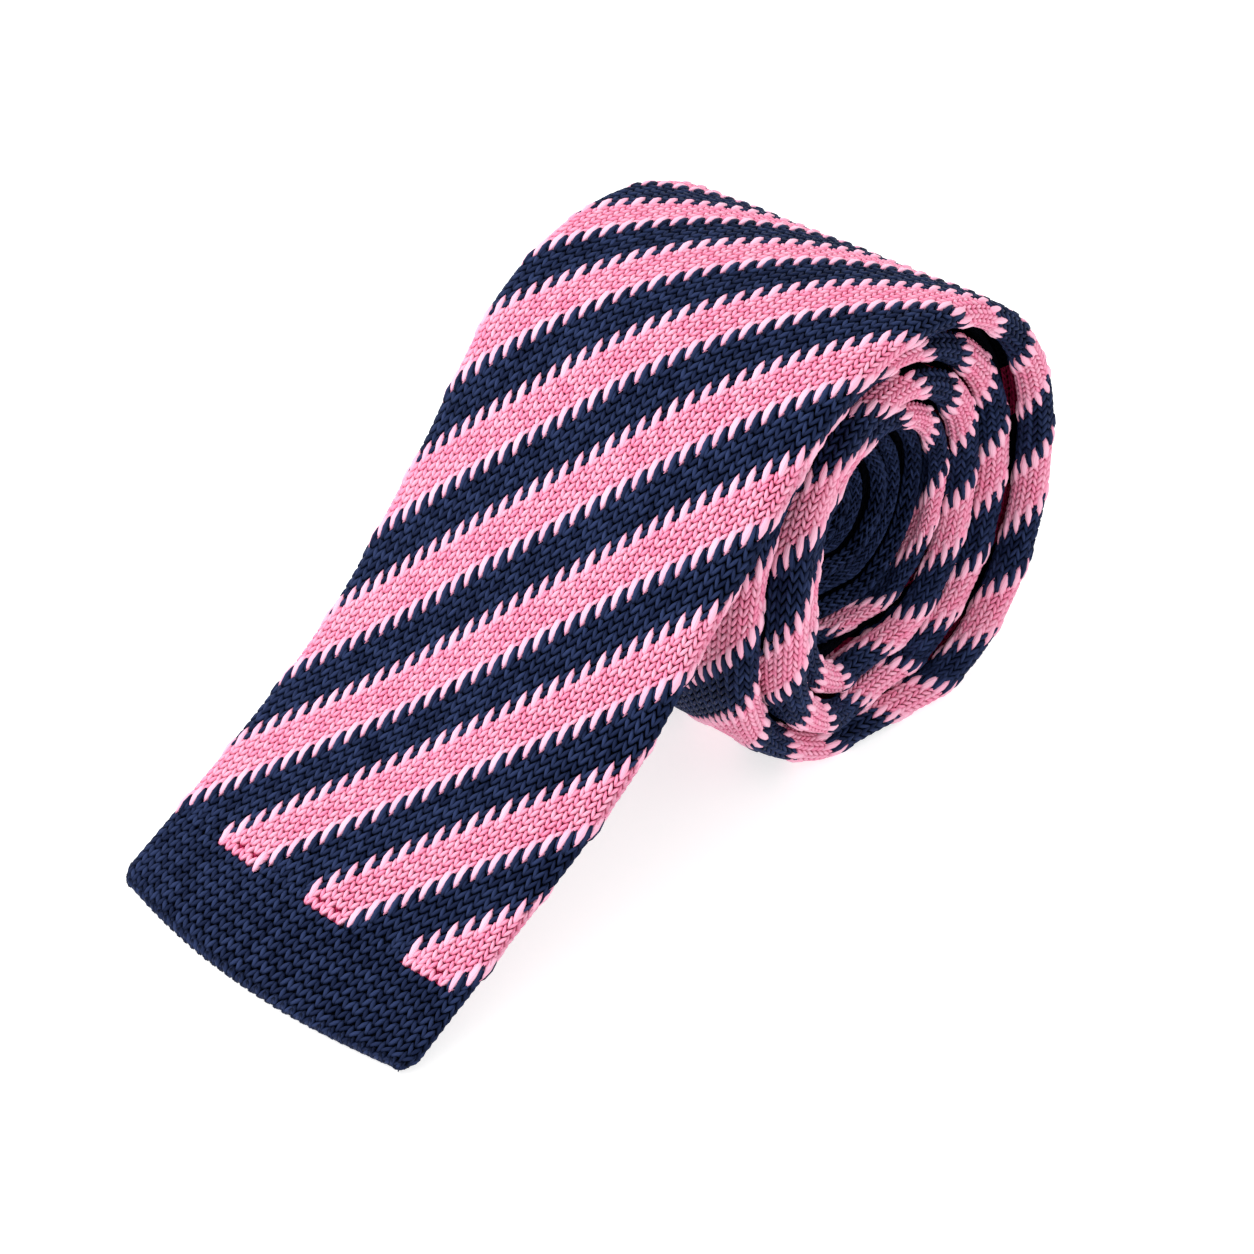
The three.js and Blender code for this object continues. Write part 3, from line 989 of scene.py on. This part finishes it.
class KNITTIE_OT_band(bpy.types.Operator):
    """Make the tie's ground cloth, the closed band that the yarn lies on"""

    bl_idname = "knit_tie.band"
    bl_label = "Ground Cloth"

    def execute(self, context):
        s, colours, path, grid = settings_and_shape(context.scene)
        rows = [*FIRST_ROWS]
        reached = rows[-1]
        while reached < grid.rows[-1] - 0.003:
            i = np.searchsorted(grid.rows, reached)
            here = grid.points[i]
            radius = np.hypot(
                here[:, 1].mean() - s.tip_y - s.roll_centre_y, here[:, 2].mean() - s.centre_z
            )
            on_blade = reached < path.blade_length
            reached += BLADE_STEP if on_blade else max(SHORTEST_STEP, ROLL_STEP * radius)
            rows.append(reached)
        rows = np.array(rows)
        columns = np.array(shell_columns(grid.columns))
        all_rows, all_around = np.meshgrid(rows, columns / grid.columns, indexing="ij")
        flat_rows, flat_around = all_rows.ravel(), all_around.ravel()
        points = read_grid(grid, grid.points, flat_rows, flat_around)
        out = unit(read_grid(grid, grid.normals, flat_rows, flat_around))
        points = points - out * s.inset
        count = len(columns)
        faces = []
        for i in range(len(rows) - 1):
            for k in range(count):
                a, b = i * count + k, i * count + (k + 1) % count
                faces.append((a, b, b + count, a + count))
        first_end, last_end = len(points), len(points) + 1
        ends = [points[:count].mean(axis=0), points[-count:].mean(axis=0)]
        base = (len(rows) - 1) * count
        for k in range(count):
            after = (k + 1) % count
            faces.append((first_end, after, k))
            faces.append((last_end, base + k, base + after))
        band = add_mesh("tie_ground_cloth", np.vstack([points, ends]), faces)
        mesh = band.data
        mesh.shade_smooth()
        self.add_uv(s, mesh, rows, columns / grid.columns)
        mesh.materials.append(ground_shade_material(s, colours))
        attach(band, "root")
        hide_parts("knit_tie")
        return {"FINISHED"}

    def add_uv(self, s, mesh, rows, around):
        """UV map in wales across and pink rows along, cut at the middle of the back."""
        layer = mesh.uv_layers.new(name="knit")
        count = len(around)
        corners = np.empty(len(mesh.loops), dtype=int)
        mesh.loops.foreach_get("vertex_index", corners)
        signed = np.mod(around + 0.5, 1.0) - 0.5
        uv = np.zeros((len(mesh.loops), 2))
        i = np.minimum(corners // count, len(rows) - 1)
        uv[:, 0] = signed[corners % count] * s.wales
        uv[:, 1] = knit_length(s, rows[i]) / s.pink_course
        for face in mesh.polygons:
            wales = uv[face.loop_start : face.loop_start + face.loop_total, 0]
            if np.ptp(wales) > s.wales / 2:
                wales[wales < 0] += s.wales
        uv[corners >= len(rows) * count] = 0.0
        layer.data.foreach_set("uv", uv.astype(np.float32).ravel())


class KNITTIE_OT_yarn(bpy.types.Operator):
    """Lay the navy and pink yarn on the ground cloth"""

    bl_idname = "knit_tie.yarn"
    bl_label = "Yarn"

    def execute(self, context):
        s, colours, path, grid = settings_and_shape(context.scene)
        legs = make_legs(s, path, grid)
        tree, sockets = yarn_tree()
        templates = [
            leg_template(f"leg_template_{number}", levels, corners)
            for number, (levels, corners) in enumerate(LEG_SHAPES)
        ]
        # The third colour of each yarn is its painted shade, towards which its legs darken at
        # their ends and sunken sides. For the pale tips it is the plain pink.
        navy = yarn_material(
            "navy_yarn", colours.navy, colours.navy_light, colours.navy_ground_shade, 0.04, 0.3
        )
        pink = yarn_material(
            "pink_yarn", colours.pink, colours.pink_light, colours.pink_ground_shade, 0.20, 0.4
        )
        pale = yarn_material(
            "pink_yarn_tips", colours.pink_light, colours.pink_tip, colours.pink, 0.15, 0.6
        )
        kinds = (
            ("navy", "stitches", ~legs.pink & ~legs.tooth, 0, navy),
            ("pink", "stitches", legs.pink & ~legs.tooth, 0, pink),
            ("pink", "teeth", legs.pink & legs.tooth, 1, pale),
            ("navy", "teeth", ~legs.pink & legs.tooth, 1, navy),
        )
        for index, region in enumerate(REGIONS):
            for seed, (dye, kind, mine, pointed, yarn) in enumerate(kinds):
                chosen = mine & (legs.region == index)
                if not chosen.any():
                    continue
                simple = 0 if region in SEEN_REGIONS else FIRST_SIMPLE_SHAPE
                template = templates[pointed + simple]
                piece = lay_yarn(
                    f"{region}_{dye}_{kind}", legs, chosen, template, tree, sockets,
                    {
                        "Width": s.yarn_width,
                        "Height": s.yarn_height,
                        "Length": s.pink_course,
                        "Size spread": SIZE_SPREAD,
                        "Seed": 10 * index + seed,
                        "Yarn": yarn,
                    },
                )
                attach(piece, "root")
                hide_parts("knit_tie")
        for template in templates:
            bpy.data.objects.remove(template)
        bpy.data.node_groups.remove(tree)
        return {"FINISHED"}


# Camera fitted to the photograph's outlines: its place in metres, its turn, and its lens.
CAMERA_PLACE = (0.262789, -0.24805, 0.26059)
CAMERA_YAW = 0.7999
CAMERA_PITCH = 0.5817
CAMERA_ROLL = -0.034
FOCAL_WIDTHS = 3049.54 / 1254
SENSOR_MM = 36.0

FLOOR_REACH = 2.5
WORLD_STRENGTH = 1.1
KEY_PLACE = (-0.35, -0.45, 0.75)
KEY_TARGET = (0.0, 0.0, 0.03)
KEY_SIZE = 0.5
KEY_WATTS = 6.0


class KNITTIE_OT_stage(bpy.types.Operator):
    """Make the floor, the light and the camera"""

    bl_idname = "knit_tie.stage"
    bl_label = "Floor, Light and Camera"

    def execute(self, context):
        scene = context.scene
        colours = scene.knit_tie_colours
        corners = [(-1, -1), (1, -1), (1, 1), (-1, 1)]
        points = [(x * FLOOR_REACH, y * FLOOR_REACH, 0.0) for x, y in corners]
        floor = add_mesh("floor", points, [(0, 1, 2, 3)])
        floor.data.materials.append(floor_material(colours))
        world = bpy.data.worlds.new("white_room")
        world.use_nodes = True
        sky = world.node_tree.nodes["Background"]
        sky.inputs["Color"].default_value = (1.0, 1.0, 1.0, 1.0)
        sky.inputs["Strength"].default_value = WORLD_STRENGTH
        scene.world = world
        scene.view_settings.view_transform = "Standard"
        light = bpy.data.lights.new("key_light", "AREA")
        light.size = KEY_SIZE
        light.energy = KEY_WATTS
        key = bpy.data.objects.new("key_light", light)
        scene.collection.objects.link(key)
        key.location = KEY_PLACE
        way = Vector(KEY_TARGET) - Vector(KEY_PLACE)
        key.rotation_euler = way.to_track_quat("-Z", "Y").to_euler()
        camera = bpy.data.cameras.new("camera")
        camera.sensor_width = SENSOR_MM
        camera.lens = FOCAL_WIDTHS * SENSOR_MM
        camera.clip_start = 0.01
        obj = bpy.data.objects.new("camera", camera)
        scene.collection.objects.link(obj)
        cos_yaw, sin_yaw = math.cos(CAMERA_YAW), math.sin(CAMERA_YAW)
        cos_pitch, sin_pitch = math.cos(CAMERA_PITCH), math.sin(CAMERA_PITCH)
        forward = Vector((-sin_yaw * cos_pitch, cos_yaw * cos_pitch, -sin_pitch))
        right = Vector((cos_yaw, sin_yaw, 0.0))
        up = right.cross(forward)
        cos_roll, sin_roll = math.cos(CAMERA_ROLL), math.sin(CAMERA_ROLL)
        tilted_right = right * cos_roll + up * sin_roll
        tilted_up = up * cos_roll - right * sin_roll
        turn = Matrix((tilted_right, tilted_up, -forward)).transposed()
        obj.matrix_world = Matrix.Translation(CAMERA_PLACE) @ turn.to_4x4()
        scene.camera = obj
        return {"FINISHED"}


class KNITTIE_PT_panel(bpy.types.Panel):
    """Sidebar panel with a button for each step"""

    bl_idname = "KNITTIE_PT_panel"
    bl_label = "Knit Tie"
    bl_space_type = "VIEW_3D"
    bl_region_type = "UI"
    bl_category = "Knit Tie"

    def draw(self, context):
        layout = self.layout
        for operator in OPERATORS:
            layout.operator(operator.bl_idname)
        for group in (context.scene.knit_tie_sizes, context.scene.knit_tie_colours):
            column = layout.column()
            for name in group.__annotations__:
                column.prop(group, name)


OPERATORS = (KNITTIE_OT_band, KNITTIE_OT_yarn, KNITTIE_OT_stage)
CLASSES = (TieSizes, TieColours, *OPERATORS, KNITTIE_PT_panel)


def register():
    """Adds the classes, and the groups of settings to the scene."""
    for cls in CLASSES:
        bpy.utils.register_class(cls)
    bpy.types.Scene.knit_tie_sizes = PointerProperty(type=TieSizes)
    bpy.types.Scene.knit_tie_colours = PointerProperty(type=TieColours)


def unregister():
    """Takes away what register added."""
    del bpy.types.Scene.knit_tie_colours
    del bpy.types.Scene.knit_tie_sizes
    for cls in reversed(CLASSES):
        bpy.utils.unregister_class(cls)


def main():
    """Builds the whole scene."""
    register()
    bpy.ops.knit_tie.band()
    bpy.ops.knit_tie.yarn()
    bpy.ops.knit_tie.stage()


if __name__ == "__main__":
    main()
